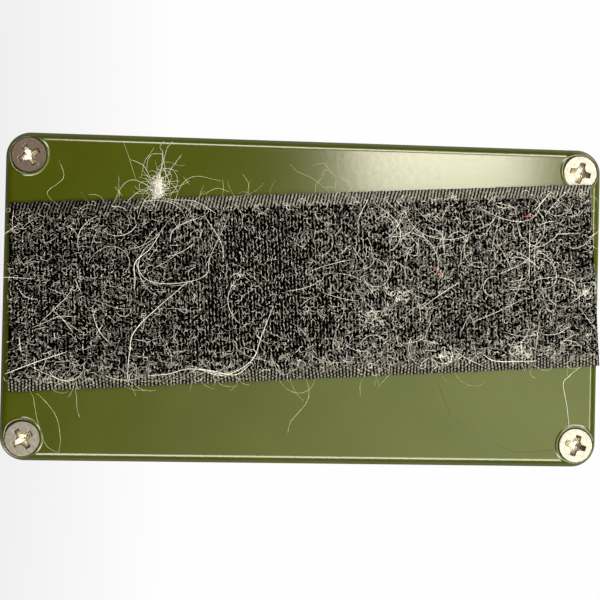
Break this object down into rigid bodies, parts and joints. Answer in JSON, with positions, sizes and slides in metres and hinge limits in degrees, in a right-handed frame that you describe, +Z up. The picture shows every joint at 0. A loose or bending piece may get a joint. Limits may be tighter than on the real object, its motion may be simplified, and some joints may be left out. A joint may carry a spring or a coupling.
{
  "type": "guitar effects pedal",
  "caption": "Effects pedal in a drafted die-cast box, with hook tape on its screwed bottom cover, knobs, an indicator lamp, a footswitch and plug sockets.",
  "frame": {"origin": "middle of the box's outline, in the plane of the hook tape's face, on which the pedal stands", "axes": "+Z up towards the controls, +Y towards the end with the sockets, +X towards the input socket"},
  "size_m": [0.066, 0.1259, 0.0577],
  "materials": {
    "box_paint": "olive green powder coat, semi-gloss, on die-cast aluminium",
    "screws": "nickel-plated steel",
    "tape_hooks": "black nylon hooks",
    "tape_backing": "black woven nylon",
    "tape_adhesive": "adhesive film",
    "knob": "moulded black plastic",
    "pointer": "white inlay",
    "shaft": "turned aluminium",
    "set_screw": "blackened steel",
    "pot_metal": "plated pressed steel",
    "pot_track": "carbon track on phenolic",
    "plated_nuts": "nickel plate",
    "switch_washer": "white nylon and plated steel",
    "tinned_lead": "tinned metal",
    "lamp_lens": "clear red epoxy",
    "switch_base": "blue moulded plastic",
    "socket_plastic": "black moulded plastic",
    "board": "solder-masked board",
    "chip": "moulded package",
    "resistor": "lacquered body",
    "diode": "glass body",
    "film_capacitor": "dipped film",
    "ceramic_capacitor": "dipped ceramic",
    "electrolytic_can": "sleeved can",
    "wire": "stranded wire in a plastic sleeve"
  },
  "bodies": {
    "enclosure": {"box_shell": "box_paint", "bottom_cover": "box_paint", "cover_screws": "screws", "tape_hooks": "tape_hooks", "tape_backing": "tape_backing", "tape_adhesive": "tape_adhesive", "pot_left_case": "pot_metal", "pot_middle_case": "pot_metal", "pot_right_case": "pot_metal", "pot_left_bushing": "pot_metal", "pot_middle_bushing": "pot_metal", "pot_right_bushing": "pot_metal", "pot_washers": "pot_metal", "footswitch_frame": "pot_metal", "pot_tracks": "pot_track", "pot_nuts": "plated_nuts", "footswitch_nuts": "plated_nuts", "socket_nuts": "plated_nuts", "socket_washers": "plated_nuts", "lamp_bezel": "plated_nuts", "footswitch_washers": "switch_washer", "pot_pins": "tinned_lead", "lamp_leads": "tinned_lead", "footswitch_lugs": "tinned_lead", "input_socket_contacts": "tinned_lead", "output_socket_contacts": "tinned_lead", "power_socket_pin": "tinned_lead", "power_socket_spring": "tinned_lead", "lamp": "lamp_lens", "footswitch_base": "switch_base", "input_socket": "socket_plastic", "output_socket": "socket_plastic", "power_socket": "socket_plastic", "power_socket_nut": "socket_plastic", "chip_socket": "socket_plastic", "main_board": "board", "footswitch_board": "board", "chip": "chip", "transistors": "chip", "resistors": "resistor", "diodes": "diode", "film_capacitors": "film_capacitor", "ceramic_capacitors": "ceramic_capacitor", "electrolytic_capacitors": "electrolytic_can", "socket_wires": "wire", "power_wires": "wire", "footswitch_wires": "wire"},
    "knob_left": {"knob_left": "knob", "knob_left_pointer": "pointer", "knob_left_set_screw": "set_screw", "pot_left_shaft": "shaft"},
    "knob_middle": {"knob_middle": "knob", "knob_middle_pointer": "pointer", "knob_middle_set_screw": "set_screw", "pot_middle_shaft": "shaft"},
    "knob_right": {"knob_right": "knob", "knob_right_pointer": "pointer", "knob_right_set_screw": "set_screw", "pot_right_shaft": "shaft"},
    "footswitch_button": {"footswitch_button": "plated_nuts"}
  },
  "joints": [
    {"name": "knob_left_turn", "type": "hinge", "parent": "enclosure", "child": "knob_left", "pos_m": [-0.02, 0.02, 0.045], "axis": [0, 0, 1], "range_deg": [-150, 150]},
    {"name": "knob_middle_turn", "type": "hinge", "parent": "enclosure", "child": "knob_middle", "pos_m": [0, 0.02, 0.045], "axis": [0, 0, 1], "range_deg": [-150, 150]},
    {"name": "knob_right_turn", "type": "hinge", "parent": "enclosure", "child": "knob_right", "pos_m": [0.02, 0.02, 0.045], "axis": [0, 0, 1], "range_deg": [-150, 150]},
    {"name": "footswitch_press", "type": "slide", "parent": "enclosure", "child": "footswitch_button", "axis": [0, 0, -1], "range_m": [0, 0.0035], "stiffness_N_per_m": 3000, "springref_m": -0.002}
  ]
}
